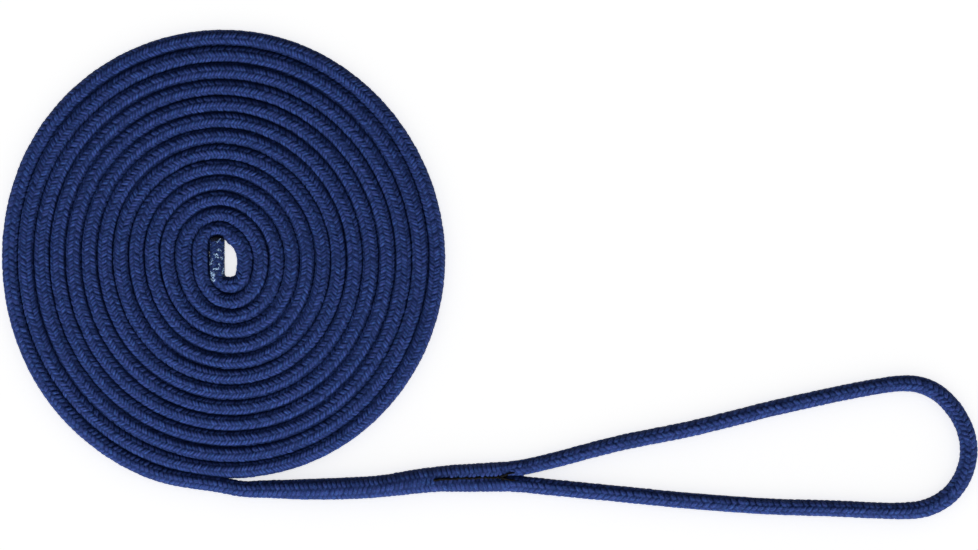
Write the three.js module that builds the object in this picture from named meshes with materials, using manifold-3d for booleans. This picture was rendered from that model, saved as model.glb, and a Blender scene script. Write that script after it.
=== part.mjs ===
// A dock line of double-braid nylon lying flat on the ground: most of it is wound into a flat coil
// round its bitter end, a short lead runs off the coil, and a spliced eye lies open beside it.
// Millimetres, +X along the longest side, +Z up, ground at z = 0, origin under the middle of the box.
import * as THREE from "three";
import { mergeVertices } from "three/addons/utils/BufferGeometryUtils.js";
import Module from "manifold-3d";

const wasm = await Module();
wasm.setup();

// Rope: a braided cover over a braided core.
const ROPE_R = 5.9;
const COVER_WALL = 1.6;
const CORE_R = 4;
const GAP = 0.3;

// Coil: one disc of wound turns, its outline and the slot left open at its centre.
const COIL_AT = [-192.5, 15.3];
const COIL_R = 162.5;
const COIL_TURNS = 13;
const TURN_PITCH = 11.6;
const GROOVE_DEPTH = 3;
const RIDGE_TOP = 4.4;
const RIM_ROUND = 3.2;
const COIL_SEGMENTS = 64;
const SLOT_AT = [-193.4, 12];
const SLOT_HALF_WIDTH = 10.3;
const SLOT_HALF_LENGTH = 16.4;
const SLOT_CORNER = 4;

// Bitter end: a melted seal across the end, with a clear sleeve shrunk over the last of the cover.
const END_X = -197.5;
const END_ROOT_Y = -2.6;
const END_FACE_Y = 25.2;
const END_R = 5.1;
const SEAL_DEPTH = 1.2;
const SLEEVE_WALL = 0.3;

// Tubes are cut into flat sides; a straight or gently bent stretch needs few steps.
const TUBE_SIDES = 12;
const LEAD_STEPS = 22;
const EYE_STEPS = 54;

const COVER_BLUE = { color: 0x1c3a86, roughness: 0.72, metalness: 0 };
const CORE_WHITE = { color: 0xe4e6e6, roughness: 0.8, metalness: 0 };
const SEAL_BLUE = { color: 0x14285c, roughness: 0.35, metalness: 0 };
const SLEEVE_CLEAR = { color: 0xc9d6e6, roughness: 0.12, metalness: 0 };
const TWINE_BLACK = { color: 0x16171a, roughness: 0.65, metalness: 0 };

// Rope centre line in plan from the coil's last quarter turn to the start of the splice.
const LEAD_LINE = [
  [-344.8, -28],
  [-330.9, -64.9],
  [-307.6, -99.4],
  [-276.2, -127.6],
  [-249.6, -142],
  [-221.8, -150.8],
  [-193, -154.8],
  [-178, -156],
  [-166.3, -156],
];

// Splice along x: centre line y, then half width and half height of the cover. It swells over the
// tail buried in its core, then widens where the two legs of the eye come in side by side.
const SPLICE = [
  { x: -166, y: -156, width: 6.4, height: 6 },
  { x: -151, y: -156.1, width: 7.1, height: 6.6 },
  { x: -134, y: -156.1, width: 7.7, height: 7.1 },
  { x: -108, y: -155.5, width: 8.1, height: 7.3 },
  { x: -82, y: -154.2, width: 8.1, height: 7.3 },
  { x: -56, y: -150.8, width: 8.8, height: 7 },
  { x: -38, y: -148.8, width: 9.5, height: 6.7 },
  { x: -12, y: -147.8, width: 10.2, height: 6.4 },
  { x: 5, y: -147.2, width: 10.9, height: 6.1 },
  { x: 20, y: -146.5, width: 12, height: ROPE_R },
];
const SPLICE_SIDES = 16;
const SPLICE_SLICES = 2;
const TAIL_R = 3.2;
const TAIL_TIP_R = 1;
const TAIL_TIP_X = -151;
const TAIL_FULL_X = -56;

// Eye centre line in plan, from the upper leg at the throat round to the lower leg.
const EYE_LINE = [
  [21.8, -140.4],
  [37, -137.3],
  [66, -129.9],
  [95, -122.7],
  [139, -113.6],
  [182, -103.5],
  [226, -92.7],
  [270, -83.8],
  [299, -79.1],
  [314, -80.6],
  [328, -87.6],
  [338, -98.6],
  [345.6, -111.5],
  [349.4, -127],
  [346.9, -141],
  [340.4, -153.6],
  [329, -164.6],
  [314, -170.6],
  [299, -171.9],
  [255, -170.4],
  [212, -168.9],
  [168, -166.3],
  [124, -162.6],
  [80, -158.2],
  [51, -155.3],
  [21.8, -152.8],
];

// Lock stitching in plan along the throat: the sewn run, then two loose tails past the knot.
const TWINE_R = 0.75;
const TWINE_SIDES = 8;
const STITCH_LENGTH = 6.4;
const STITCH_RISE = 0.25;
const KNOT_AT = [9.5, -146.5];
const TWINE_RUN = [[-40.6, -149], [-28, -148.9], [-12, -148.6], [0, -147.6], KNOT_AT];
const TWINE_TAILS = [
  [KNOT_AT, [14, -144.6], [18.8, -144.2]],
  [KNOT_AT, [13, -148.2], [18.8, -148.6]],
];

function polygon(kind, radius, sides) {
  const outline = new kind();
  for (let k = 0; k < sides; k++) {
    const turn = (2 * Math.PI * k) / sides;
    outline[k ? "lineTo" : "moveTo"](radius * Math.cos(turn), radius * Math.sin(turn));
  }
  outline.closePath();
  return outline;
}

// A closed tube along points in space, hollow when a bore is given.
function tube(points, radius, { sides = TUBE_SIDES, steps, bore = 0 }) {
  const section = polygon(THREE.Shape, radius, sides);
  if (bore > 0) section.holes.push(polygon(THREE.Path, bore, sides));
  return new THREE.ExtrudeGeometry(section, { steps, extrudePath: new THREE.CatmullRomCurve3(points) });
}

const onGround = (line, z = ROPE_R) => line.map(([x, y]) => new THREE.Vector3(x, y, z));

const lathe = (profile, segments) =>
  new THREE.LatheGeometry(
    profile.map(([radius, along]) => new THREE.Vector2(radius, along)),
    segments,
  );

function toSolid(geometry) {
  const bare = geometry.clone();
  bare.deleteAttribute("normal");
  bare.deleteAttribute("uv");
  const merged = mergeVertices(bare, 1e-3);
  return new wasm.Manifold(
    new wasm.Mesh({
      numProp: 3,
      vertProperties: merged.attributes.position.array,
      triVerts: new Uint32Array(merged.index.array),
    }),
  );
}

function toGeometry(solid) {
  const mesh = solid.getMesh();
  const geometry = new THREE.BufferGeometry();
  geometry.setAttribute("position", new THREE.BufferAttribute(mesh.vertProperties, 3));
  geometry.setIndex(new THREE.BufferAttribute(mesh.triVerts, 1));
  geometry.computeVertexNormals();
  return geometry;
}

// The wound turns as one disc: flat underneath, a rounded rim and a ridge for each turn on top.
function coilDisc() {
  const top = 2 * ROPE_R;
  const profile = [
    [0, 0],
    [COIL_R - RIM_ROUND, 0],
    [COIL_R - RIM_ROUND / 3, (2 * RIM_ROUND) / 3],
    [COIL_R, ROPE_R],
  ];
  for (let turn = 0; turn < COIL_TURNS; turn++) {
    const rim = COIL_R - turn * TURN_PITCH;
    profile.push([rim - TURN_PITCH / 2 + RIDGE_TOP / 2, top]);
    profile.push([rim - TURN_PITCH / 2 - RIDGE_TOP / 2, top]);
    profile.push([rim - TURN_PITCH, top - GROOVE_DEPTH]);
  }
  profile.push([0, top - GROOVE_DEPTH]);
  return lathe(profile, COIL_SEGMENTS)
    .rotateX(Math.PI / 2)
    .translate(...COIL_AT, 0);
}

function centreSlot() {
  const w = SLOT_HALF_WIDTH - SLOT_CORNER;
  const l = SLOT_HALF_LENGTH - SLOT_CORNER;
  const outline = new THREE.Shape();
  outline.absarc(w, l, SLOT_CORNER, 0, Math.PI / 2);
  outline.absarc(-w, l, SLOT_CORNER, Math.PI / 2, Math.PI);
  outline.absarc(-w, -l, SLOT_CORNER, Math.PI, 1.5 * Math.PI);
  outline.absarc(w, -l, SLOT_CORNER, 1.5 * Math.PI, 2 * Math.PI);
  const depth = 4 * ROPE_R;
  return new THREE.ExtrudeGeometry(outline, { depth, bevelEnabled: false, curveSegments: 4 }).translate(
    ...SLOT_AT,
    -depth / 4,
  );
}

// Room for the rope's last quarter turn, which leaves the round of the disc: a channel along the
// lead, round towards the coil and open outwards.
function leadChannel() {
  const room = ROPE_R + GAP;
  const section = new THREE.Shape();
  section.moveTo(room, -2 * room);
  section.lineTo(room, 0);
  for (let k = 1; k < TUBE_SIDES / 2; k++) {
    const turn = (2 * Math.PI * k) / TUBE_SIDES;
    section.lineTo(room * Math.cos(turn), room * Math.sin(turn));
  }
  section.lineTo(-room, 0);
  section.lineTo(-room, -2 * room);
  section.closePath();
  const extrudePath = new THREE.CatmullRomCurve3(onGround(LEAD_LINE));
  return new THREE.ExtrudeGeometry(section, { steps: LEAD_STEPS, extrudePath });
}

function coilTurns() {
  return toGeometry(
    toSolid(coilDisc()).subtract(toSolid(centreSlot())).subtract(toSolid(leadChannel())),
  );
}

// Splice stations with more slices between them, eased so that the swelling has no corners.
function spliceSlices() {
  const slices = [];
  SPLICE.slice(1).forEach((next, i) => {
    const from = SPLICE[i];
    for (let k = 0; k < SPLICE_SLICES; k++) {
      const share = k / SPLICE_SLICES;
      const mix = (key) => THREE.MathUtils.lerp(from[key], next[key], share);
      slices.push({ x: mix("x"), y: mix("y"), width: mix("width"), height: mix("height") });
    }
  });
  slices.push(SPLICE[SPLICE.length - 1]);
  return slices;
}

function spliceAt(x) {
  const slices = spliceSlices();
  const next = Math.max(1, slices.findIndex((s) => s.x >= x));
  const from = slices[next - 1];
  const share = (x - from.x) / (slices[next].x - from.x);
  const mix = (key) => THREE.MathUtils.lerp(from[key], slices[next][key], share);
  return { y: mix("y"), width: mix("width"), height: mix("height") };
}

// A round turned piece with its axis along x, laid on the splice's line and flattened as it is.
function alongSplice(profile) {
  const piece = lathe(profile, SPLICE_SIDES).rotateZ(-Math.PI / 2);
  const at = piece.attributes.position;
  for (let i = 0; i < at.count; i++) {
    const here = spliceAt(at.getX(i));
    at.setY(i, at.getY(i) + here.y);
    at.setZ(i, (at.getZ(i) * here.height) / here.width + here.height);
  }
  piece.computeVertexNormals();
  return piece;
}

// Profile of a hollow stretch of the splice between two radii given along x.
function hollow(outer, inner) {
  const slices = spliceSlices();
  const profile = [
    ...slices.map(({ x, width }) => [outer(x, width), x]),
    ...slices.toReversed().map(({ x, width }) => [inner(x, width), x]),
  ];
  return [...profile, profile[0]];
}

const tailRadius = (x) =>
  THREE.MathUtils.mapLinear(
    THREE.MathUtils.clamp(x, TAIL_TIP_X, TAIL_FULL_X),
    TAIL_TIP_X,
    TAIL_FULL_X,
    TAIL_TIP_R,
    TAIL_R,
  );

const dockLine = new THREE.Group();
dockLine.name = "dock_line";

function add(name, geometry, look) {
  const mesh = new THREE.Mesh(geometry, new THREE.MeshStandardMaterial(look));
  mesh.name = name;
  dockLine.add(mesh);
}

add("coil_turns", coilTurns(), COVER_BLUE);

// Lead: cover and core from the coil to the splice, clear of the end of the channel in the disc.
const leadRun = onGround(LEAD_LINE);
leadRun[0].lerp(leadRun[1], GAP / leadRun[0].distanceTo(leadRun[1]));
const bore = ROPE_R - COVER_WALL;
add("lead_cover", tube(leadRun, ROPE_R, { steps: LEAD_STEPS, bore }), COVER_BLUE);
add("lead_core", tube(leadRun, CORE_R, { steps: LEAD_STEPS }), CORE_WHITE);

// Splice: swollen cover, the core inside it, and the tapered tail buried in that core.
add(
  "splice_cover",
  alongSplice(hollow((x, width) => width, (x, width) => width - COVER_WALL)),
  COVER_BLUE,
);
add(
  "splice_core",
  alongSplice(
    hollow(
      (x, width) => width - COVER_WALL - GAP,
      (x) => tailRadius(x) + 2 * GAP,
    ),
  ),
  CORE_WHITE,
);
const mouth = SPLICE[SPLICE.length - 1];
add(
  "buried_tail",
  alongSplice([
    [0, TAIL_TIP_X],
    ...spliceSlices()
      .filter(({ x }) => x >= TAIL_TIP_X)
      .map(({ x }) => [tailRadius(x), x]),
    [0, mouth.x],
  ]),
  CORE_WHITE,
);

// Eye: cover and core from leg to leg.
add("eye_cover", tube(onGround(EYE_LINE), ROPE_R, { steps: EYE_STEPS, bore }), COVER_BLUE);
add("eye_core", tube(onGround(EYE_LINE), CORE_R, { steps: EYE_STEPS }), CORE_WHITE);

// Lock stitching: twine rising and dipping along the throat, knotted before its two tails.
function twine(line, steps, rise) {
  const plan = new THREE.CatmullRomCurve3(onGround(line, 0));
  const points = plan.getPoints(steps).map(({ x, y }) => {
    const wave = rise * (1 + Math.cos((2 * Math.PI * (x - KNOT_AT[0])) / STITCH_LENGTH));
    return new THREE.Vector3(x, y, 2 * spliceAt(x).height + GAP + TWINE_R + wave);
  });
  return toSolid(tube(points, TWINE_R, { sides: TWINE_SIDES, steps }));
}
const knotZ = 2 * spliceAt(KNOT_AT[0]).height + GAP + 2 * TWINE_R;
const knot = new THREE.SphereGeometry(2 * TWINE_R, 12, 8).translate(...KNOT_AT, knotZ);
const stitching = TWINE_TAILS.map((tail) => twine(tail, 8, 0)).reduce(
  (joined, tail) => joined.add(tail),
  twine(TWINE_RUN, 40, STITCH_RISE).add(toSolid(knot)),
);
add("lock_stitching", toGeometry(stitching), TWINE_BLACK);

// Bitter end, its axis along y: cover over core, the seal across them and the sleeve round them.
const sleeveBore = END_R + GAP / 2;
const endCentreZ = sleeveBore + SLEEVE_WALL;
const sealRootY = END_FACE_Y - SEAL_DEPTH;
function addEnd(name, outer, inner, y0, y1, look) {
  const profile =
    inner > 0
      ? [[inner, y0], [outer, y0], [outer, y1], [inner, y1], [inner, y0]]
      : [[0, y0], [outer, y0], [outer, y1], [0, y1]];
  add(name, lathe(profile, 2 * TUBE_SIDES).translate(END_X, 0, endCentreZ), look);
}
addEnd("end_cover", END_R, END_R - COVER_WALL, END_ROOT_Y, sealRootY - GAP, COVER_BLUE);
addEnd("end_core", END_R - COVER_WALL - GAP, 0, END_ROOT_Y, sealRootY - GAP, CORE_WHITE);
addEnd("end_seal", END_R, 0, sealRootY, END_FACE_Y, SEAL_BLUE);
addEnd("end_sleeve", sleeveBore + SLEEVE_WALL, sleeveBore, END_ROOT_Y, END_FACE_Y, SLEEVE_CLEAR);

export default dockLine;
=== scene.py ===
"""A coiled dock line of double-braid nylon: flat coil, lead, eye splice and bitter end.

Metres, in the row frame: +X towards the eye, +Z up, the line lying on the ground at z = 0.
"""
import math

import bpy
import numpy as np
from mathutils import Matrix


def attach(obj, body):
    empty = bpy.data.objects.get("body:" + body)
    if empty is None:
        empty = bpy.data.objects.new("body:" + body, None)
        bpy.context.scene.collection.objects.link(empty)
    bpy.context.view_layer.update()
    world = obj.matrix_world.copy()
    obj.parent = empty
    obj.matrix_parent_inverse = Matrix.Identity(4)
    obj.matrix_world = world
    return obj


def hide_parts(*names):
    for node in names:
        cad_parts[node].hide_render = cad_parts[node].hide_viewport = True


MM = 0.001

# ---------------------------------------------------------------- the rope
ROPE_D = 11.8 * MM
ROPE_R = ROPE_D / 2
CREST = 0.10 * MM           # how far the strands' crests stand above the nominal surface
COLUMNS = 8                 # columns of stitches round the cover, two of its 16 strands to a column
COLUMN_POINTS = 6           # mesh points across a column
SIDES = COLUMNS * COLUMN_POINTS
PICK_RINGS = 6              # mesh rings in the length of a stitch
RELIEF = 1.05 * MM          # depth between the strands
SIDE_RELIEF = 0.4           # the share of it left on the rope's flanks, which are pressed smooth
SLANT = 0.5                 # how far a strand gets along the rope across a column, in stitches
STITCH_REACH = 0.56         # where a stitch's end has dipped under, in columns from its middle
STITCH_SWELL = 0.50         # where its side would have, in stitches from its middle
END_POWER, SIDE_POWER = 2.5, 2.2    # how squarely a stitch falls away at its ends and its sides
DOME_POWER = 0.6            # how full its top is
STITCH_UNEVEN = 0.20        # spread of the stitches' heights, as a share
STITCH_JITTER = 0.07        # spread of their places, in stitches
YARNS = 2                   # yarns side by side in a strand
YARN_PART = 0.13            # half width of the dip between them, in stitches
YARN_DIP = 0.32             # its depth in the slack coil, as a share of a stitch's height
TIGHT_DIP = 0.06            # its depth in the tighter lead and eye
FLANK_POWER = 3             # how fast the flanks give way to the rope's top
BRAID_TWIST = 0.011         # slow turning of the columns round the rope, radians in a stitch

# ---------------------------------------------------------------- the splice and the bitter end
SPLIT_X = -45 * MM          # where the free rope ends and the splice's throat begins
SLEEVE_LENGTH = 28.5 * MM
SLEEVE_WALL = 0.2 * MM
END_R = 5.5 * MM            # half width of the rope inside its sleeve
TWINE_R = 0.95 * MM
THROAT_HEIGHT = 6.05 * MM   # height of the rope's centre where the legs are sewn together

# ---------------------------------------------------------------- the camera's picture
PICTURE_WIDTH = 0.711
PICTURE_MIDDLE = -0.0004, -0.0004
CAMERA_HEIGHT = 2.4
SENSOR = 36.0


def smooth(x, low, high):
    t = np.clip((np.asarray(x, float) - low) / (high - low), 0, 1)
    return t * t * (3 - 2 * t)


def distance(points):
    """How far along a line each of its points lies."""
    return np.concatenate([[0], np.cumsum(np.linalg.norm(np.diff(points, axis=0), axis=1))])


def ease(values, reach):
    """The values averaged over a short reach either way, ends kept."""
    window = np.hanning(2 * reach + 1)
    padded = np.concatenate([np.full(reach, values[0]), values, np.full(reach, values[-1])])
    return np.convolve(padded, window / window.sum(), mode="valid")


def unit(vectors):
    return vectors / np.linalg.norm(vectors, axis=-1, keepdims=True)


# ================================================================ camera
def add_camera():
    data = bpy.data.cameras.new("camera")
    data.sensor_width = SENSOR
    data.lens = SENSOR * (CAMERA_HEIGHT - ROPE_R) / PICTURE_WIDTH
    camera = bpy.data.objects.new("camera", data)
    camera.location = (*PICTURE_MIDDLE, CAMERA_HEIGHT)
    bpy.context.scene.collection.objects.link(camera)
    bpy.context.scene.camera = camera


# ================================================================ where the rope lies (plan, in mm)
COIL_CENTRE = np.array([-193.0, 12.7])
COIL_START = 1.25           # turns wound where the middle's own plan gives over to the even spiral
COIL_TURNS = 13
TURN_POINTS = 24
PRESSED = 0.32 * MM         # neighbouring turns bed this far into each other, each
TURN_WIDTHS = 5.0 * MM, 7.0 * MM
FREE_WIDTH = 5.85 * MM      # half width where no turn lies beside it
FREE_HEIGHT = 5.95 * MM
TOUCHING = 13.6 * MM        # turns no further apart than this touch
SHADE = 0.42                # how deep in each other's shade touching flanks are
SHADED_FLANK = 0.15, 0.75   # from where on a flank that shade sets in, to where it is full

MIDDLE_PLAN = [
    (-198.1, 24.8), (-198.1, 17.8), (-198.1, 10.5), (-198.1, 4), (-197.8, -0.9), (-196, -4.9),
    (-192.7, -7.0), (-188.7, -7.4), (-184.8, -6.7), (-181.3, -4.6), (-179.1, -0.7), (-178.1, 4.7),
    (-178.0, 12), (-179.6, 18.5), (-183.0, 24.3), (-187.8, 28.9), (-193, 32.3), (-198.8, 33.0),
    (-204.5, 30.9), (-207.8, 26.3), (-209.3, 20.7), (-209.5, 12.7), (-209.2, 5.5), (-208.3, -1.8),
    (-205.2, -8.7), (-200.2, -15.1), (-193, -19.6), (-184.3, -19.9), (-176.4, -16), (-170.6, -9.6),
    (-167.3, -1.9),
]
LEAD_PLAN = [
    (-178, -156), (-166, -156), (-151, -156.1), (-134, -156.1), (-117, -155.8), (-99.6, -155.2),
    (-82.2, -154.2), (-64.7, -152), (-47.3, -149.7), (-29.8, -148.3), (-12.4, -147.8), (5, -147.2),
    (14, -146.9), (25, -146.4),
]
EYE_PLAN = [
    (-3, -142.9), (7, -142), (15, -141.3), (22.5, -140.4), (31.3, -138.7), (51.6, -133.8),
    (80.7, -126), (109.8, -119.4), (138.9, -113.7), (167.9, -106.9), (197, -99.5), (226.1, -92.7),
    (255.2, -86.4), (284.3, -81), (299, -79.2), (313.5, -80.5), (327, -87), (338, -98.3),
    (345.3, -111.5), (348.4, -127), (346.4, -141), (340, -153.8), (329, -164.4), (314, -170.6),
    (298.8, -171.9), (269.7, -171), (240.6, -169.8), (211.6, -169), (182.5, -167.4),
    (153.4, -165.2), (124.3, -162.6), (95.2, -159.6), (66.2, -156.8), (45, -154.7),
    (31.3, -153.3), (22.5, -152.5), (15, -152.1), (7, -151.9), (-3, -152.1),
]
PER_STEP = 40               # samples from one point of a plan to the next

# Along x in the lead and the splice, all in mm: half width, half height, and how far the two lobes
# of the section stand from its middle where the legs lie side by side.
SPLICE_WIDTH = [
    (-178, 5.85), (-169, 6.3), (-160, 6.6), (-152, 6.95), (-143, 7.3), (-134.5, 7.6), (-117, 7.95),
    (-99, 8.05), (-75, 8.1), (-64.7, 8.2), (-56, 7.9), (-47, 7), (-38, 6.1), (4, 5.9), (12, 5.75),
    (18, 5.2), (25, 4.4),
]
SPLICE_HEIGHT = [
    (-178, 5.95), (-169, 6.3), (-152, 6.8), (-134.5, 7.2), (-117, 7.35), (-75, 7.4), (-64.7, 7.3),
    (-56, 7.05), (-47, 6.75), (-38, 6.45), (4, 6.05), (12, 5.9), (18, 5.3), (25, 4.5),
]
LEG_SPREAD = [
    (-62, 0), (-56, 0.7), (-47.3, 2), (-38, 3.4), (-29.8, 3.85), (-21, 4.1), (-12.4, 4.3),
    (-3.6, 4.55), (5, 4.95), (13.8, 5.5), (25, 4.4),
]

# Length of a stitch by distance, in mm: before the throat's end, and round the eye.
MAIN_PICK = [
    (-650, 4.93), (-560, 4.65), (-450, 4.25), (-380, 3.95), (-330, 3.8), (-240, 3.6), (-140, 3.4),
    (0, 3.2),
]
EYE_PICK = [
    (0, 3.4), (20, 3.8), (60, 4.75), (190, 4.7), (300, 4.15), (430, 4.1), (520, 4.35), (600, 4.4),
    (700, 4.75), (745, 3.8), (765, 3.4),
]
SLACK_ENDS, TIGHT_BEGINS = -620, -420   # where the yarns draw together, by the same distance

# The bitter end, in lengths of its sleeve: where the film draws the rope in, and where its grip
# on the strands' relief lets go.
DRAWN_IN = 0.75, 1.25
GRIPPED = 0.9, 1.2
GRIP = 0.25                 # the share of the relief lost under the film
END_LIFT = 0.35 * MM        # the end's centre over its half height: the film lies under it

# The eye, in metres: the crown by x, and where along it the crown gives over to the lower leg.
CROWN_X = 0.285, 0.325
LOWER_LEG = 0.36, 0.42
MOUTH_REACH = 22 * MM       # how far out of the throat a leg swells to its full size
HELD_REACH = 15 * MM, 45 * MM   # over which a leg comes down from the throat's height
# A leg's half width and half height in mm: in the throat's mouth, what they gain once it is free,
# and how its bend flattens it round the crown; the lower leg is a little wider.
MOUTH_SIZE = 4.4, 4.6
FREE_GAIN = 1.35, 1.3
CROWN_GAIN = 0.55, -0.4
LOWER_GAIN = 0.2


def spline(points):
    """A smooth line through the points, thickly sampled: a natural cubic over the chord lengths."""
    points = np.asarray(points, float)
    chord = distance(points)
    count = len(points)
    gap = np.diff(chord)
    system = np.zeros((count, count))
    system[0, 0] = system[-1, -1] = 1
    for i in range(1, count - 1):
        system[i, i - 1 : i + 2] = gap[i - 1], 2 * (gap[i - 1] + gap[i]), gap[i]
    slope = np.diff(points, axis=0) / gap[:, None]
    right = np.zeros_like(points)
    right[1:-1] = 6 * np.diff(slope, axis=0)
    bend = np.linalg.solve(system, right)
    step = np.arange(PER_STEP * (count - 1) + 1) / PER_STEP
    i = np.minimum(step.astype(int), count - 2)
    h = gap[i][:, None]
    t = (step - i)[:, None] * h
    u = h - t
    return (
        (bend[i] * u**3 + bend[i + 1] * t**3) / (6 * h)
        + (points[i] / h - bend[i] * h / 6) * u
        + (points[i + 1] / h - bend[i + 1] * h / 6) * t
    )


# The coil's radius in mm as an even spiral: at no turns, then by turns and turns squared.
COIL_SPIRAL = 14.79, 10.94, 0.04
# Its unevenness: for each number of lobes round it, the cosine's and the sine's share, each by
# powers of the turns wound over ten.
COIL_LOBES = {
    1: ((1.85, -1.97, 1.79), (-2.63, -0.87, 1.99)),
    2: ((-2.79, -0.14, 0.42), (-1.88, 0.15, 0.44)),
    3: ((-0.04, 0.24), (0.43, -0.42)),
    4: ((0.09, -0.17), (0.03, -0.12)),
    5: ((-0.11, 0.28), (0.21, -0.14)),
}


def coil_angle(turns):
    return 2 * math.pi * turns - math.pi / 2


def coil_radius(turns):
    """The rope's distance from the coil's centre, in mm, by turns wound from the middle."""
    start, pitch, growth = COIL_SPIRAL
    radius = start + pitch * turns + growth * turns**2
    for lobes, shares in COIL_LOBES.items():
        for wave, powers in zip((np.cos, np.sin), shares):
            share = sum(c * (turns / 10) ** i for i, c in enumerate(powers))
            radius = radius + share * wave(lobes * coil_angle(turns))
    return radius


def coil_plan(turns):
    angle = coil_angle(turns)
    outwards = np.stack([np.cos(angle), np.sin(angle)], axis=-1)
    return COIL_CENTRE + coil_radius(turns)[:, None] * outwards


class Line:
    """A run of rope: its centre in plan, and along it the half widths to its left and right and
    the half height of a lobe, the spread of the two lobes where two legs lie side by side, the
    height of the centre above the ground, the share of the full relief, how closely its
    neighbours shade it, the length of a stitch and the dip between its yarns. It is read off by
    phase, in stitches."""

    def __init__(
        self, plan, half_widths, half_height, spread, centre_z, relief, beside, pick, dip, seed
    ):
        self.plan = plan
        self.along = distance(plan)
        self.tangent = unit(np.gradient(plan, self.along, axis=0))
        self.left, self.right = half_widths
        self.half_height, self.beside = half_height, beside
        self.lobed = np.clip(spread / self.left, 0, 0.98)
        self.centre_z, self.relief, self.dip = centre_z, relief, dip
        picks = np.diff(self.along) * (1 / pick[1:] + 1 / pick[:-1]) / 2
        self.phase = np.concatenate([[0], np.cumsum(picks)])
        self.rows = math.ceil(self.phase[-1] * PICK_RINGS) + PICK_RINGS // 2
        draw = np.random.default_rng(seed)
        stitches = 2, int(self.phase[-1]) + 4, COLUMNS
        self.plump, self.shift = draw.standard_normal(stitches).clip(-2, 2)

    def read(self, phase, values):
        return np.interp(phase, self.phase, values)

    def before_x(self, x):
        """The last sample of the line that is still before x."""
        return np.nonzero(self.plan[:, 0] < x)[0][-1]

    def centre(self, rows):
        phase = rows / PICK_RINGS
        return np.stack([self.read(phase, v) for v in (*self.plan.T, self.centre_z)], axis=-1)

    def cushion(self, column, across, row_phase):
        """Height of a column's stitches at points across it, from 0 in the gaps to about 1."""
        own = row_phase + 0.5 * (column % 2)
        stitch = np.clip(np.floor(own + 0.5).astype(int) + 1, 0, len(self.plump) - 1)
        off = np.abs(own - np.floor(own + 0.5) + STITCH_JITTER * self.shift[stitch, column])
        ends, sides = np.abs(across) / STITCH_REACH, off / STITCH_SWELL
        dome = 1 - ends**END_POWER - sides**SIDE_POWER
        part = self.read(row_phase, self.dip) * np.maximum(1 - off / YARN_PART, 0)
        plump = 1 + STITCH_UNEVEN * self.plump[stitch, column]
        return plump * (np.maximum(dome, 0) ** DOME_POWER - part)

    def surface(self, first_row, last_row):
        """Ring after ring of the braided cover: points, stitch coordinate, and two marks: the
        depth under the crests with the shade of touching turns added, which paints shade into
        the colour, and how far the yarns part.

        Rings run zigzag round the rope, so that each follows the strands across every column; a
        stitch is then PICK_RINGS rings of one column."""
        row_phase = np.arange(first_row, last_row + 1)[:, None] / PICK_RINGS
        column_at = np.arange(SIDES) / COLUMN_POINTS
        column = np.floor(column_at).astype(int)
        across = column_at - column - 0.5
        odd = column % 2
        lean = SLANT * np.where(odd == 1, -1.0, 1.0)
        phase = row_phase + lean * across

        plan = np.stack([self.read(phase, self.plan[:, i]) for i in (0, 1)], axis=-1)
        ahead = unit(np.stack([self.read(phase, self.tangent[:, i]) for i in (0, 1)], axis=-1))
        b, lobed = self.read(phase, self.half_height), self.read(phase, self.lobed)

        # The section: two arcs side by side that meet over a valley, or one round when lobed is 0.
        turn = 2 * math.pi * column_at / COLUMNS + BRAID_TWIST * phase
        side = np.where(np.cos(turn) >= 0, 1.0, -1.0)
        a = np.where(side > 0, self.read(phase, self.right), self.read(phase, self.left))
        lobe = np.arctan2(np.sin(turn), np.abs(np.cos(turn)))
        lobe = lobe * (2 - 2 * np.arccos(lobed) / math.pi)
        sideways, upwards = side * a * (lobed + np.cos(lobe)), b * np.sin(lobe)
        normal = unit(np.stack([side * np.cos(lobe) / a, np.sin(lobe) / b], axis=-1))

        # The relief: every stitch is an oval cushion whose ends dip between its neighbours' ends.
        beyond = np.where(across < 0, -1, 1)
        beyond_phase = row_phase + lean * (2 * across - beyond)
        height = np.maximum(
            self.cushion(column, across, row_phase),
            self.cushion((column + beyond) % COLUMNS, across - beyond, beyond_phase),
        )
        depth = (1 - height) * self.read(phase, self.relief)
        flank = np.maximum(np.cos(lobe), 0) ** FLANK_POWER
        sink = CREST - RELIEF * depth * (1 - (1 - SIDE_RELIEF) * flank)
        sideways = sideways + normal[..., 0] * sink
        upwards = upwards + normal[..., 1] * sink
        points = np.stack(
            [
                plan[..., 0] + ahead[..., 1] * sideways,
                plan[..., 1] - ahead[..., 0] * sideways,
                self.read(phase, self.centre_z) + upwards,
            ],
            axis=-1,
        )
        on_left, on_right = (self.read(phase, v) for v in self.beside)
        shaded = np.where(side > 0, on_right, on_left)
        # The shade mark paints shade into the colour: between the strands, and on flanks where
        # turns touch.
        marks = {
            "shade_mark": depth + shaded * smooth(flank, *SHADED_FLANK),
            "parted": self.read(phase, self.dip) / YARN_DIP,
        }
        return points, np.broadcast_to(row_phase, phase.shape), marks


def by_mm(where, knots):
    """Values in mm read off between (place, value) knots, for places in metres."""
    places, values = np.transpose(knots)
    return np.interp(where / MM, places, values) * MM


def turn_gaps(plan):
    """How far off, sample by sample, the next turn lies, inside and outside; inf if none."""
    every = 10
    few = plan[::every]
    arm = few - COIL_CENTRE * MM
    angle = np.unwrap(np.arctan2(arm[:, 1], arm[:, 0]))
    apart = np.hypot(*(few[:, None] - few[None]).transpose(2, 0, 1))
    later = angle[None] - angle[:, None]
    sample = np.arange(len(plan)) / every
    gaps = []
    for way in (-1, 1):
        next_turn = (way * later > math.pi) & (way * later < 3 * math.pi)
        near = np.where(next_turn, apart, np.inf).min(axis=1)
        gaps.append(np.interp(sample, np.arange(len(few)), near))
    return gaps


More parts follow.
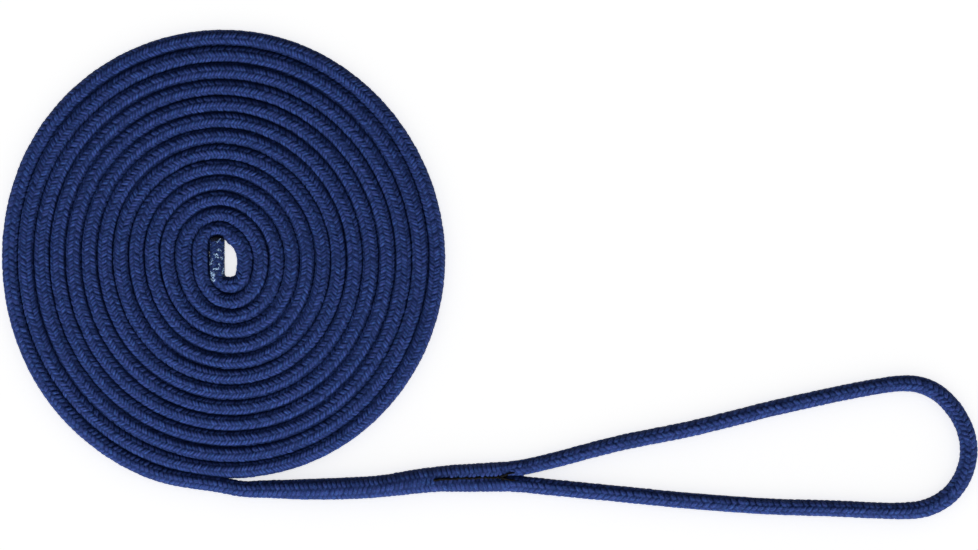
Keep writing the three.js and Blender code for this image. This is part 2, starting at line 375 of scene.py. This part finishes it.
def main_line():
    """The rope from its bitter end out through the coil, the lead and the splice to the throat."""
    turns = np.linspace(COIL_START, COIL_TURNS, round((COIL_TURNS - COIL_START) * TURN_POINTS) + 1)
    control = np.concatenate([MIDDLE_PLAN, coil_plan(turns), LEAD_PLAN])
    plan = spline(control) * MM
    along = distance(plan)
    x = plan[:, 0]
    leaving = np.arange(len(plan)) > PER_STEP * (len(control) - len(LEAD_PLAN) - 2)
    drawn_in = 1 - smooth(along, *(SLEEVE_LENGTH * share for share in DRAWN_IN))
    half_widths, beside = [], []
    for gap in turn_gaps(plan):
        touching = gap < TOUCHING
        half = np.where(touching, np.clip(gap / 2 + PRESSED, *TURN_WIDTHS), FREE_WIDTH)
        half = half * (1 - drawn_in) + END_R * drawn_in
        half_widths.append(np.where(leaving, by_mm(x, SPLICE_WIDTH), half))
        beside.append(ease(np.where(touching & ~leaving, SHADE, 0.0), PER_STEP // 2))
    free_height = FREE_HEIGHT * (1 - drawn_in) + END_R * drawn_in
    half_height = np.where(leaving, by_mm(x, SPLICE_HEIGHT), free_height)
    spread = np.where(leaving, by_mm(x, LEG_SPREAD), 0)
    half_widths = [ease(v, PER_STEP // 2) for v in half_widths]
    half_height, spread = (ease(v, 3 * PER_STEP // 2) for v in (half_height, spread))
    centre_z = half_height + END_LIFT * drawn_in
    centre_z = np.where(leaving & (x > 0), np.maximum(centre_z, THROAT_HEIGHT), centre_z)
    relief = 1 - GRIP * (1 - smooth(along, *(SLEEVE_LENGTH * share for share in GRIPPED)))
    before_end = along - along[-1]
    pick = by_mm(before_end, MAIN_PICK)
    dip = np.interp(before_end / MM, [SLACK_ENDS, TIGHT_BEGINS], [YARN_DIP, TIGHT_DIP])
    return Line(
        plan, half_widths, half_height, spread, centre_z, relief, beside, pick, dip, seed=11
    )


def eye_line():
    """The rope of the eye, out of the throat, round the crown and back into the throat."""
    plan = spline(EYE_PLAN) * MM
    along = distance(plan)
    from_throat = np.minimum(along, along[-1] - along)
    free = smooth(from_throat, 0, MOUTH_REACH)
    crown = smooth(plan[:, 0], *CROWN_X)
    lower = smooth(along, *LOWER_LEG)
    gains = FREE_GAIN[0] + LOWER_GAIN * lower, FREE_GAIN[1]
    half_width, half_height = (
        (mouth + gain * free + more * crown) * MM
        for mouth, gain, more in zip(MOUTH_SIZE, gains, CROWN_GAIN)
    )
    held = 1 - smooth(from_throat, *HELD_REACH)
    centre_z = half_height + (THROAT_HEIGHT - half_height) * held
    none = np.zeros(len(plan))
    return Line(
        plan, [half_width] * 2, half_height, spread=none, centre_z=centre_z, relief=none + 1,
        beside=[none] * 2, pick=by_mm(along, EYE_PICK), dip=none + TIGHT_DIP, seed=23,
    )


# ================================================================ meshes
def add_mesh(name, points, material, stitch=None, marks=None, caps=(False, False)):
    """A tube through rings of points, with the rings' stitch coordinate in its uv map and each
    mark as an attribute of its points."""
    rings, sides = points.shape[:2]
    if stitch is None:
        stitch = np.broadcast_to(np.arange(rings)[:, None] / sides, (rings, sides))
    ring = np.arange(sides)
    base = (np.arange(rings - 1) * sides)[:, None]
    after = (ring + 1) % sides
    further = base + sides
    quads = np.stack([base + ring, base + after, further + after, further + ring], axis=-1)
    loops, totals = quads.ravel(), np.full((rings - 1) * sides, 4)
    round_way = np.stack([ring, ring + 1, ring + 1, ring], axis=-1) / sides
    round_way = np.broadcast_to(round_way, quads.shape)
    lengthways = np.stack([stitch[:-1], stitch[:-1], stitch[1:], stitch[1:]], axis=-1)
    corners = np.stack([round_way, lengthways], axis=-1).reshape(-1, 2)
    for wanted, cap in zip(caps, (ring[::-1], (rings - 1) * sides + ring)):
        if wanted:
            loops, totals = np.concatenate([loops, cap]), np.append(totals, sides)
            corners = np.concatenate([corners, np.zeros((sides, 2))])
    mesh = bpy.data.meshes.new(name)
    mesh.vertices.add(rings * sides)
    mesh.vertices.foreach_set("co", points.reshape(-1).astype(np.float32))
    mesh.loops.add(len(loops))
    mesh.loops.foreach_set("vertex_index", loops.astype(np.int32))
    mesh.polygons.add(len(totals))
    starts = np.concatenate([[0], np.cumsum(totals)[:-1]])
    mesh.polygons.foreach_set("loop_start", starts.astype(np.int32))
    mesh.polygons.foreach_set("loop_total", totals.astype(np.int32))
    uv_map = mesh.uv_layers.new(name="braid")
    uv_map.data.foreach_set("uv", corners.astype(np.float32).ravel())
    for mark, values in (marks or {}).items():
        attribute = mesh.attributes.new(mark, "FLOAT", "POINT")
        attribute.data.foreach_set("value", np.ascontiguousarray(values, np.float32).ravel())
    mesh.update(calc_edges=True)
    mesh.validate()
    mesh.shade_smooth()
    mesh.materials.append(material)
    thing = bpy.data.objects.new(name, mesh)
    bpy.context.scene.collection.objects.link(thing)
    return thing


def across_path(path):
    """Unit side and up vectors down a path in space, turning as little as they can."""
    ahead = unit(np.gradient(path, axis=0))
    side = np.empty_like(ahead)
    side[0] = unit(np.cross(ahead[0], (0, 0, 1)))
    for i in range(1, len(path)):
        side[i] = unit(side[i - 1] - ahead[i] * np.dot(side[i - 1], ahead[i]))
    return side, np.cross(side, ahead)


def circle(sides):
    return np.linspace(0, 2 * math.pi, sides, endpoint=False)


def rings_round(centre, radius, turn, side, up):
    """Rings of points at a radius round their centres, each from its side vector towards its up."""
    return (
        centre + radius[..., None] * np.cos(turn)[:, None] * side
        + radius[..., None] * np.sin(turn)[:, None] * up
    )


def lay(rope, slot, *nodes):
    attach(rope, "root")
    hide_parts(*nodes)


# ================================================================ materials
class Look:
    """A material under construction round its Principled shader; an underline in a socket's
    name stands for a space."""

    def __init__(self, name, **sockets):
        self.material = bpy.data.materials.new(name)
        self.material.use_nodes = True
        self.tree = self.material.node_tree
        self.shader = self.tree.nodes["Principled BSDF"]
        for socket, value in sockets.items():
            self.shader.inputs[socket.replace("_", " ")].default_value = value

    def add(self, kind, inputs=(), **settings):
        node = self.tree.nodes.new(kind)
        for key, value in settings.items():
            setattr(node, key, value)
        for socket, value in dict(inputs).items():
            if isinstance(value, bpy.types.NodeSocket):
                self.tree.links.new(value, node.inputs[socket])
            else:
                node.inputs[socket].default_value = value
        return node

    def math(self, operation, *values):
        return self.add("ShaderNodeMath", dict(enumerate(values)), operation=operation).outputs[0]

    def positive(self, value):
        return self.math("MAXIMUM", value, 0.0)

    def mix(self, factor, first, second):
        colours = {0: factor, 6: first, 7: second}
        return self.add("ShaderNodeMix", colours, data_type="RGBA").outputs[2]

    def noise(self, scale, detail, place):
        inputs = {"Scale": scale, "Detail": detail, "Vector": place}
        return self.add("ShaderNodeTexNoise", inputs).outputs["Fac"]

    def place(self):
        return self.add("ShaderNodeTexCoord").outputs["Object"]

    def span(self, value, low, high):
        """A 0 to 1 value taken to the range low to high."""
        return self.math("MULTIPLY_ADD", value, high - low, low)

    def bump(self, height, depth):
        inputs = {"Strength": 1.0, "Distance": depth, "Height": height}
        normal = self.add("ShaderNodeBump", inputs).outputs[0]
        self.set("Normal", normal)
        return normal

    def set(self, socket, output):
        self.tree.links.new(output, self.shader.inputs[socket])


NAVY = (0.0088, 0.0185, 0.102, 1)
NAVY_PAINTED_SHADE = (0.0033, 0.0076, 0.037, 1)      # painted shade: between the strands, their yarns and filaments, and where turns touch
NAVY_WEAR_AND_SHEEN = (0.031, 0.052, 0.198, 1)        # worn patches, and painted sheen where light catches the fuzz on the crests
NAVY_WARM = (0.037, 0.048, 0.194, 1)        # the reddest of the dyed strands
NAVY_GLINT = (0.023, 0.059, 0.208, 1)        # painted glints of the filaments
TWINE_BLACK = (0.0008, 0.0008, 0.001, 1)
TWINE_DUSTY = (0.003, 0.003, 0.003, 1)
# near black: partly the melted nylon's own, partly painted shade in the gap beyond the end
SEAL_MELT_AND_SHADE = (0.0012, 0.0015, 0.003, 1)
SEAL_PALE = (0.005, 0.006, 0.014, 1)
FILM_CLEAR = (0.008, 0.016, 0.05, 1)
# creases of the film, bright as painted glints as well
FILM_CREASE_GLINT = (0.46, 0.68, 1.0, 1)
FILAMENTS = 9               # fine lines across a strand
FILAMENT_SLANT = 40.0       # their slant, in radians of their wave once round the rope
FILAMENT_SHADE = 0.09
GROOVE_SHADE = 0.84         # how far painted shade darkens the colour at the bottom between the strands
PARTED_SHADE = 0.22         # painted shade between parted yarns, and evenly over the braid where they lie together


def cover_look():
    """Navy nylon braid: fine filaments, each strand dyed a little differently, painted shade
    between the strands, their yarns and filaments and where turns touch, and a faint fuzz on
    the crests with painted sheen and painted glints."""
    look = Look(
        "navy_braid", Specular_IOR_Level=0.16, Specular_Tint=(0.35, 0.55, 1, 1),
        Sheen_Weight=0.12, Sheen_Roughness=0.3, Sheen_Tint=(0.12, 0.32, 1, 1),
    )
    uv = look.add("ShaderNodeUVMap", uv_map="braid").outputs[0]
    round_rope, row = look.add("ShaderNodeSeparateXYZ", {0: uv}).outputs[:2]
    shade_mark, parted = (
        look.add("ShaderNodeAttribute", attribute_name=mark).outputs["Fac"]
        for mark in ("shade_mark", "parted")
    )
    place = look.place()

    # A number of its own for each stitch: odd columns lie half a stitch further on.
    column = look.math("FLOOR", look.math("MULTIPLY", round_rope, float(COLUMNS)))
    own = look.math("MULTIPLY_ADD", look.math("MODULO", column, 2.0), 0.5, row)
    stitch = look.math("FLOOR", look.math("ADD", own, 0.5))
    key = look.add("ShaderNodeCombineXYZ", {0: column, 1: stitch}).outputs[0]
    dye = look.add("ShaderNodeTexWhiteNoise", {"Vector": key}, noise_dimensions="2D")
    dye = dye.outputs["Value"]

    # Waves across a strand: its yarns, seen apart where the braid is slack, and their filaments.
    yarns = look.math("MULTIPLY_ADD", own, 2 * math.pi * YARNS, -math.pi / 2)
    yarns = look.math("SINE", yarns)
    slant = look.math("MULTIPLY", round_rope, FILAMENT_SLANT)
    filaments = look.math("SINE", look.math("MULTIPLY_ADD", own, 2 * math.pi * FILAMENTS, slant))
    fuzz = look.noise(1500.0, 3.0, place)
    glints = look.noise(640.0, 1.0, place)
    weather = look.noise(22.0, 3.0, place)

    crest = look.mix(look.span(dye, -0.15, 0.45), NAVY, NAVY_WARM)
    crest = look.mix(look.span(weather, -0.06, 0.22), crest, NAVY_WEAR_AND_SHEEN)
    # Painted sheen: the raised parts lighter in fine flecks, as if light caught their fuzz.
    raised = look.math("SUBTRACT", 1.0, shade_mark)
    crest_sheen = look.math("MULTIPLY", raised, look.span(fuzz, -1.0, 1.7))
    crest = look.mix(look.positive(crest_sheen), crest, NAVY_WEAR_AND_SHEEN)
    # Painted glints: small bluer flecks of light on the strands.
    crest = look.mix(look.positive(look.span(glints, -3.5, 3.4)), crest, NAVY_GLINT)
    # Painted shade: darker between the strands and on flanks where turns touch.
    shade = look.math("MULTIPLY", look.positive(shade_mark), GROOVE_SHADE)
    colour = look.mix(look.math("MINIMUM", shade, 1.0), crest, NAVY_PAINTED_SHADE)
    # Painted shade between parted yarns and between filaments, and evenly on the tight braid.
    between = look.positive(look.span(yarns, PARTED_SHADE, -PARTED_SHADE))
    colour = look.mix(look.math("MULTIPLY", parted, between), colour, NAVY_PAINTED_SHADE)
    colour = look.mix(look.span(parted, PARTED_SHADE, 0.0), colour, NAVY_PAINTED_SHADE)
    colour = look.mix(look.span(filaments, FILAMENT_SHADE, 0.0), colour, NAVY_PAINTED_SHADE)
    look.set("Base Color", colour)
    look.set("Roughness", look.span(fuzz, 0.55, 0.85))
    look.bump(look.math("MULTIPLY_ADD", filaments, 0.35, fuzz), 0.16 * MM)
    return look.material


def twine_look():
    """Waxed black whipping twine, a little dusty."""
    look = Look("black_twine", Specular_IOR_Level=0.06)
    place = look.place()
    fibres = look.noise(2600.0, 4.0, place)
    dust = look.noise(240.0, 2.0, place)
    look.set("Base Color", look.mix(look.span(dust, -0.2, 0.6), TWINE_BLACK, TWINE_DUSTY))
    look.set("Roughness", look.span(fibres, 0.45, 0.8))
    look.bump(fibres, 0.08 * MM)
    return look.material


def seal_look():
    """Nylon melted into a hard skin: darker than the braid, smooth but uneven; its near black is
    partly the melt's own, partly painted shade for the gap beyond the end.
    """
    look = Look("melted_nylon_and_shade", Specular_IOR_Level=0.12)
    place = look.place()
    flow = look.noise(420.0, 3.0, place)
    char = look.noise(900.0, 2.0, place)
    look.set("Base Color", look.mix(look.span(char, -0.3, 1.1), SEAL_MELT_AND_SHADE, SEAL_PALE))
    look.set("Roughness", look.span(flow, 0.18, 0.5))
    look.bump(flow, 0.25 * MM)
    return look.material


def sleeve_look():
    """Clear shrink film: seen through, but for whitish creases, most of them towards the rope;
    their bright bluish white is partly the film's creasing, partly painted glints.
    """
    look = Look("clear_film", IOR=1.5)
    place = look.place()
    crinkle = look.noise(430.0, 3.0, place)
    creases = look.noise(620.0, 2.0, place)
    patches = look.noise(300.0, 1.0, place)
    # Creases are thin lines where their noise passes its middle, within patches of the film that
    # grow more frequent along it, in -Y; they are partly whitened film, partly painted glints.
    fold = look.math("ABSOLUTE", look.math("SUBTRACT", creases, 0.5))
    fold = look.positive(look.math("MULTIPLY_ADD", fold, -18.0, 1.0))
    along = look.add("ShaderNodeSeparateXYZ", {0: place}).outputs[1]
    share = look.math("MULTIPLY_ADD", along, -5.0, -0.475)
    where = look.positive(look.math("MULTIPLY", look.math("ADD", patches, share), 14.0))
    crease_glint = look.math("MULTIPLY", fold, look.math("MINIMUM", where, 1.0))
    look.set("Base Color", look.mix(crease_glint, FILM_CLEAR, FILM_CREASE_GLINT))
    look.set("Roughness", look.span(crinkle, 0.05, 0.25))
    normal = look.bump(crinkle, 0.5 * MM)
    rim = look.add("ShaderNodeLayerWeight", {"Blend": 0.25, "Normal": normal}).outputs["Facing"]
    seen = look.math("MAXIMUM", look.span(rim, 0.05, 0.4), look.math("MULTIPLY", crease_glint, 0.95))
    look.set("Alpha", seen)
    return look.material


def ground_look():
    return Look(
        "ground", Base_Color=(0.95, 0.95, 0.95, 1), Roughness=0.9, Specular_IOR_Level=0.1,
        Emission_Color=(1, 1, 1, 1), Emission_Strength=0.70,
    ).material


# ================================================================ the pieces
GROUND_REACH = 6.0          # from the origin to each side
GROUND_SINK = 0.2 * MM      # below the line, whose lowest stitches bulge under z = 0


def add_ground():
    corners = (-1, -1), (1, -1), (1, 1), (-1, 1)
    mesh = bpy.data.meshes.new("ground")
    mesh.from_pydata([(x * GROUND_REACH, y * GROUND_REACH, 0) for x, y in corners], [], [range(4)])
    mesh.materials.append(ground_look())
    ground = bpy.data.objects.new("ground", mesh)
    ground.location.z = -GROUND_SINK
    bpy.context.scene.collection.objects.link(ground)


def add_rope(line, cover):
    split = round(line.phase[line.before_x(SPLIT_X)] * PICK_RINGS)
    points, stitch, marks = line.surface(-PICK_RINGS // 2, split)
    rope = add_mesh("rope", points, cover, stitch, marks, caps=(True, False))
    lay(rope, "rope_cover", "coil_turns", "lead_cover", "lead_core", "end_cover", "end_core")
    centres = line.centre(np.arange(split + 1))[::-1]

    points, stitch, marks = line.surface(split, line.rows)
    throat = add_mesh("splice_throat", points, cover, stitch, marks, caps=(False, True))
    lay(throat, "rope_cover", "splice_cover", "splice_core", "buried_tail")
    return [rope, throat]


def add_eye(line, cover):
    points, stitch, marks = line.surface(-PICK_RINGS // 2, line.rows)
    eye = add_mesh("eye", points, cover, stitch, marks, caps=(True, True))
    lay(eye, "rope_cover", "eye_cover", "eye_core")
    line.centre(np.arange(line.rows - PICK_RINGS // 2))
    return eye


UPWARDS = np.array([0, 0, 1.0])
SLEEVE_OVER = 1.1 * MM      # how far the film stands out past the rope's end
SLEEVE_SLACK, SLEEVE_CRINKLE = 0.35, 0.12   # its mean and uneven distance from the rope, in mm
SLEEVE_LOBES = 2, 3, 5, 7, 9, 12            # waves round it that add up to its crinkles


def add_sleeve(line, film):
    """A thin closed shell of clear film round the rope's end, more crinkled further on."""
    rings, sides = 90, 72
    along = np.linspace(-SLEEVE_OVER, SLEEVE_LENGTH, rings)
    at = [np.interp(along, line.along, v) for v in (*line.plan.T, *line.tangent.T, line.centre_z)]
    centre = np.stack([at[0], at[1], at[4]], axis=-1)
    centre[:, :2] += np.minimum(along, 0)[:, None] * line.tangent[0]
    side = np.stack([at[3], -at[2], np.zeros(rings)], axis=-1)
    turn = circle(sides)
    draw = np.random.default_rng(5)
    crinkle = np.zeros((rings, sides))
    for lobes in SLEEVE_LOBES:
        pitch, start, size = draw.uniform(250, 900), draw.uniform(0, 6.3), draw.uniform(0.6, 1.0)
        crinkle += size / math.sqrt(lobes) * np.sin(lobes * turn + pitch * along[:, None] + start)
    tight = 0.35 + 0.65 * smooth(along, 0.25 * SLEEVE_LENGTH, 0.8 * SLEEVE_LENGTH)
    outer = END_R + (SLEEVE_SLACK + SLEEVE_CRINKLE * crinkle * tight[:, None]) * MM
    inner = outer - SLEEVE_WALL
    radius = np.concatenate([outer, inner[::-1]])
    spine = np.concatenate([centre, centre[::-1]])[:, None]
    across = np.concatenate([side, side[::-1]])[:, None]
    points = rings_round(spine, radius, turn, across, UPWARDS)
    points = np.concatenate([points, points[:1]])
    sleeve = add_mesh("end_sleeve_film", points, film)
    lay(sleeve, "clear_sleeve", "end_sleeve")
    return sleeve


SEAL_R = END_R - 0.05 * MM
SEAL_ROOT, SEAL_LENGTH = -0.9, 4.2          # from inside the cover outwards, in mm; it reaches into the gap beyond the end, partly as painted shade
SEAL_LUMPS = 2, 3, 5, 8     # waves round it that add up to its lumps


def add_seal(line, melt):
    """The rope's end melted over: a lumpy dome with a rolled rim, long and dark enough to stand
    partly for painted shade in the gap beyond the end.
    """
    rings, sides = 22, 48
    turn = circle(sides)
    t = np.linspace(0, 1, rings)[:, None]
    closing = np.clip(t * 1.25 - 0.25, 0, 1) ** 2.6     # straight at first, then rounded over
    radius = SEAL_R * np.sqrt(np.clip(1 - closing, 0, 1)) * (1 - 0.02 * (t < 0.1))
    draw = np.random.default_rng(8)
    lump = sum(
        draw.uniform(0.3, 1) / lobes * np.sin(lobes * turn + draw.uniform(0, 6.3) + 5 * t)
        for lobes in SEAL_LUMPS
    )
    out = SEAL_ROOT + SEAL_LENGTH * np.minimum(t * 1.15, 1) + 0.16 * lump * (0.4 + 0.6 * t)
    radius = radius * (1 + 0.012 * lump)
    x, y = line.tangent[0]
    centre = np.array([*line.plan[0], line.centre_z[0]])
    points = rings_round(centre, radius, turn, np.array([y, -x, 0]), UPWARDS)
    points = points + (out * MM)[..., None] * np.array([-x, -y, 0])
    seal = add_mesh("end_seal_melt", points[:, ::-1], melt, caps=(True, True))
    lay(seal, "melted_end", "end_seal")
    return seal


TWINE_SIDES = 16
TWINE_LAY = 1.1 * MM        # length along the twine in which its plies turn by a radian
TWINE_STEP = 0.35 * TWINE_R
PLY_DEPTH = 0.20            # how far the twine narrows between its plies, as a share


def twine_tube(points, radius, taper=(1.0, 1.0)):
    """Rings of two-ply twine down a path: two lobes that turn about each other."""
    path = even_spline(points)
    side, up = across_path(path)
    turn = circle(TWINE_SIDES)
    ply = turn + distance(path)[:, None] / TWINE_LAY
    lobes = 1 - PLY_DEPTH + PLY_DEPTH * np.abs(np.cos(ply))
    size = radius * np.linspace(*taper, len(path))[:, None] * lobes
    return rings_round(path[:, None], size, turn, side[:, None], up[:, None])


def even_spline(points):
    """The spline through points in space, in even steps."""
    fine = spline(points)
    gone = distance(fine)
    even = np.linspace(0, gone[-1], max(12, int(gone[-1] / TWINE_STEP)))
    return np.stack([np.interp(even, gone, values) for values in fine.T], axis=-1)


def valley(line, x, lift):
    """A point over the valley between the legs: x in metres, lift above the cover's surface."""
    passed = line.before_x(x)
    top = line.centre_z[passed] + line.half_height[passed] * math.sqrt(1 - line.lobed[passed] ** 2)
    return np.array([x, line.plan[passed, 1], top + lift])


def rest_height(line, x, y):
    """Height of the cover's surface over a point of the throat."""
    passed = line.before_x(x)
    a, b = line.left[passed], line.half_height[passed]
    off = abs(abs(y - line.plan[passed, 1]) - line.lobed[passed] * a)
    return line.centre_z[passed] + b * math.sqrt(max(0, 1 - (off / a) ** 2))


STITCHING_X, KNOT_X = -40.6 * MM, 8.5 * MM
KNOT_LIFT = 0.75 * MM
KNOT_R, TAIL_R = 0.8 * TWINE_R, 0.85 * TWINE_R
STITCHES = 7
# The rise and fall of one stitch: share of its length, then lift and step aside in mm.
STITCH_SHAPE = (0.0, 0.15, 0.0), (0.3, 0.6, 0.25), (0.7, 0.6, -0.25)
# The two cut tails, from the knot: x, y, and lift above the cover, in mm.
TAILS = (
    ((0.5, 0.4, 0.6), (3.6, 1.9, 1.0), (6.6, 2.7, 0.9), (9.6, 2.9, 0.35)),
    ((0.5, -0.4, 0.4), (3.4, -1.3, 0.8), (6.8, -2.2, 0.6), (10.0, -2.4, 0.2)),
)


def add_stitching(line, black):
    """Lock stitching down the throat: short running stitches, a knot and its two cut tails."""
    run = []
    draw = np.random.default_rng(3)
    for i in range(STITCHES):
        for share, lift, aside in STITCH_SHAPE:
            x = STITCHING_X + (KNOT_X - STITCHING_X) * (i + share) / STITCHES
            point = valley(line, x, (lift + draw.uniform(-0.08, 0.08)) * MM)
            point[1] += (aside * (1 if i % 2 else -1) + draw.uniform(-0.12, 0.12)) * MM
            run.append(point)
    knot = valley(line, KNOT_X, KNOT_LIFT)
    run.append(knot)
    tubes = [twine_tube(np.array(run), TWINE_R)]

    # A small overhand knot, flattened onto the rope.
    t = np.linspace(0, 2 * math.pi, 25)
    loop = np.stack(
        [
            1.15 * (np.sin(t) + 1.9 * np.sin(2 * t)),
            0.75 * (np.cos(t) - 1.9 * np.cos(2 * t)),
            0.55 * -np.sin(3 * t),
        ],
        axis=-1,
    ) * MM
    tubes.append(twine_tube(knot + np.array([0.4, 0, 0.35]) * MM + loop, KNOT_R))

    for tail in TAILS:
        path = []
        for ahead, aside, lift in tail:
            x, y, _ = valley(line, KNOT_X + ahead * MM, 0)
            y += aside * MM
            path.append((x, y, rest_height(line, x, y) + (0.35 + lift * 0.6) * MM))
        tubes.append(twine_tube(np.array(path), TAIL_R, taper=(1.0, 0.85)))

    lengths = [add_mesh(f"twine_{i}", t, black, caps=(True, True)) for i, t in enumerate(tubes)]
    twine = join("lock_stitching_twine", lengths)
    lay(twine, "twine", "lock_stitching")
    return twine


def join(name, meshes):
    joined = meshes[0]
    with bpy.context.temp_override(
        active_object=joined, object=joined, selected_objects=meshes,
        selected_editable_objects=meshes,
    ):
        bpy.ops.object.join()
    joined.name = joined.data.name = name
    return joined


# ================================================================ light
SKY, HORIZON = 0.33, 1.0    # strength of the even light from above, and at the horizon, for white
HORIZON_ENDS = 0.035, 0.06  # by the upward part of the direction
SOFTBOX_SIZE = 1.0, 0.7
SOFTBOXES = {"left": ((-1.15, -1.35, 0.9), 64), "right": ((1.45, -1.5, 0.75), 68)}


def add_softbox(name, place, power):
    data = bpy.data.lights.new(name, "AREA")
    data.shape = "RECTANGLE"
    data.size, data.size_y = SOFTBOX_SIZE
    data.energy = power
    light = bpy.data.objects.new(name, data)
    light.location = place
    light.rotation_euler = (-light.location).to_track_quat("-Z", "Y").to_euler()
    bpy.context.scene.collection.objects.link(light)
    return light


def add_light(lit):
    """A white studio, and two softboxes that light the pieces alone and leave the floor even."""
    world = bpy.data.worlds.new("studio")
    world.use_nodes = True
    nodes, links = world.node_tree.nodes, world.node_tree.links
    nodes["Background"].inputs["Color"].default_value = (1, 1, 1, 1)
    direction, parts, glow = (
        nodes.new("ShaderNode" + kind) for kind in ("TexCoord", "SeparateXYZ", "MapRange")
    )
    sockets = "From Min", "From Max", "To Min", "To Max"
    for socket, value in zip(sockets, (*HORIZON_ENDS, HORIZON, SKY)):
        glow.inputs[socket].default_value = value
    links.new(direction.outputs["Generated"], parts.inputs[0])
    links.new(parts.outputs["Z"], glow.inputs["Value"])
    links.new(glow.outputs["Result"], nodes["Background"].inputs["Strength"])
    bpy.context.scene.world = world
    on_line = bpy.data.collections.new("lit_by_softboxes")
    for piece in lit:
        on_line.objects.link(piece)
    for name, (place, power) in SOFTBOXES.items():
        softbox = add_softbox(name, place, power)
        softbox.light_linking.receiver_collection = on_line
    bpy.context.scene.view_settings.view_transform = "Standard"


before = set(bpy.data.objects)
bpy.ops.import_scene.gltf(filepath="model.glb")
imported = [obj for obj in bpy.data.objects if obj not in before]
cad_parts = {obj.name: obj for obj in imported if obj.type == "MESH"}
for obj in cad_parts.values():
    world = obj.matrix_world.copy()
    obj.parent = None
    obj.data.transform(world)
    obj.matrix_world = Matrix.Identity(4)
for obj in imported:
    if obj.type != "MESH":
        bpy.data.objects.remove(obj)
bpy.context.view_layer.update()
add_camera()
rope_line, eye = main_line(), eye_line()
navy = cover_look()
seal = add_seal(rope_line, seal_look())
sleeve = add_sleeve(rope_line, sleeve_look())
pieces = add_rope(rope_line, navy) + [seal, sleeve, add_eye(eye, navy)]
pieces.append(add_stitching(rope_line, twine_look()))
add_ground()
add_light(pieces)
